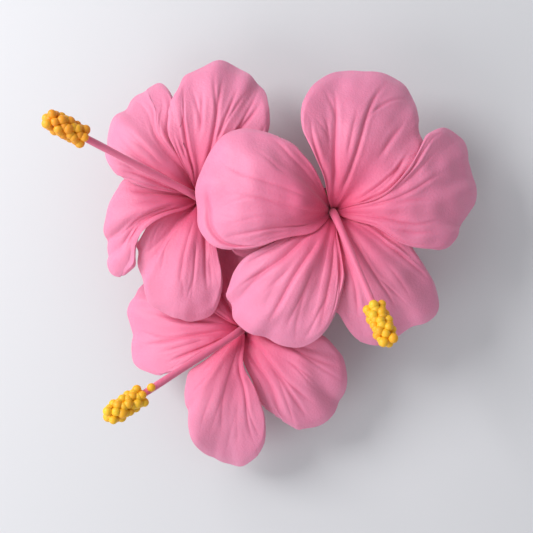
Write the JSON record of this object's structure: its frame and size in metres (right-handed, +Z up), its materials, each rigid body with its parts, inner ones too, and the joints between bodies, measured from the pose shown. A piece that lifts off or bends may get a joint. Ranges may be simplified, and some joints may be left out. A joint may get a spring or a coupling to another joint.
{
  "type": "flower hair clip",
  "caption": "Sprung toothed hair clip carrying a cluster of pink foam hibiscus flowers with long stamens tipped with yellow pollen balls.",
  "frame": {"origin": "centre of the flat underside of the clip's lower jaw, which lies on the table", "axes": "+X from the jaw tip back to the thumb tabs, +Z up to the open faces of the flowers"},
  "size_m": [0.1351, 0.1329, 0.0584],
  "materials": {
    "petal_foam": "matte moulded foam sheet with fine grain",
    "stamen_foam": "matte foam tube",
    "pollen_clay": "satin air-dry clay balls",
    "wire_steel": "drawn wire",
    "hub_foam": "matte foam",
    "calyx_foam": "matte green foam",
    "glue": "cloudy hot-melt glue",
    "felt": "craft felt",
    "clip_steel": "nickel-plated pressed sheet",
    "pin_steel": "riveted pin",
    "spring_steel": "drawn spring wire"
  },
  "bodies": {
    "flower_side": {"right_petal_1": "petal_foam", "right_petal_2": "petal_foam", "right_petal_3": "petal_foam", "right_petal_4": "petal_foam", "right_petal_5": "petal_foam", "left_petal_1": "petal_foam", "left_petal_2": "petal_foam", "left_petal_3": "petal_foam", "left_petal_4": "petal_foam", "left_petal_5": "petal_foam", "bottom_petal_1": "petal_foam", "bottom_petal_2": "petal_foam", "bottom_petal_3": "petal_foam", "bottom_petal_4": "petal_foam", "bottom_petal_5": "petal_foam", "right_stamen": "stamen_foam", "left_stamen": "stamen_foam", "bottom_stamen": "stamen_foam", "right_stamen_wire": "wire_steel", "left_stamen_wire": "wire_steel", "bottom_stamen_wire": "wire_steel", "right_pollen": "pollen_clay", "left_pollen": "pollen_clay", "bottom_pollen": "pollen_clay", "right_hub": "hub_foam", "left_hub": "hub_foam", "bottom_hub": "hub_foam", "right_calyx": "calyx_foam", "left_calyx": "calyx_foam", "bottom_calyx": "calyx_foam", "glue_dabs": "glue", "felt_base": "felt", "felt_strap": "felt", "upper_arm": "clip_steel", "hinge_pin": "pin_steel", "torsion_spring": "spring_steel"},
    "lower_jaw": {"lower_arm": "clip_steel"}
  },
  "joints": [
    {"name": "jaw_hinge", "type": "hinge", "parent": "flower_side", "child": "lower_jaw", "pos_m": [0.03, 0, 0.006], "axis": [0, -1, 0], "range_deg": [0, 22], "stiffness_Nm_per_rad": 0.13, "springref_deg": -34.38, "deforming": ["torsion_spring"]}
  ]
}
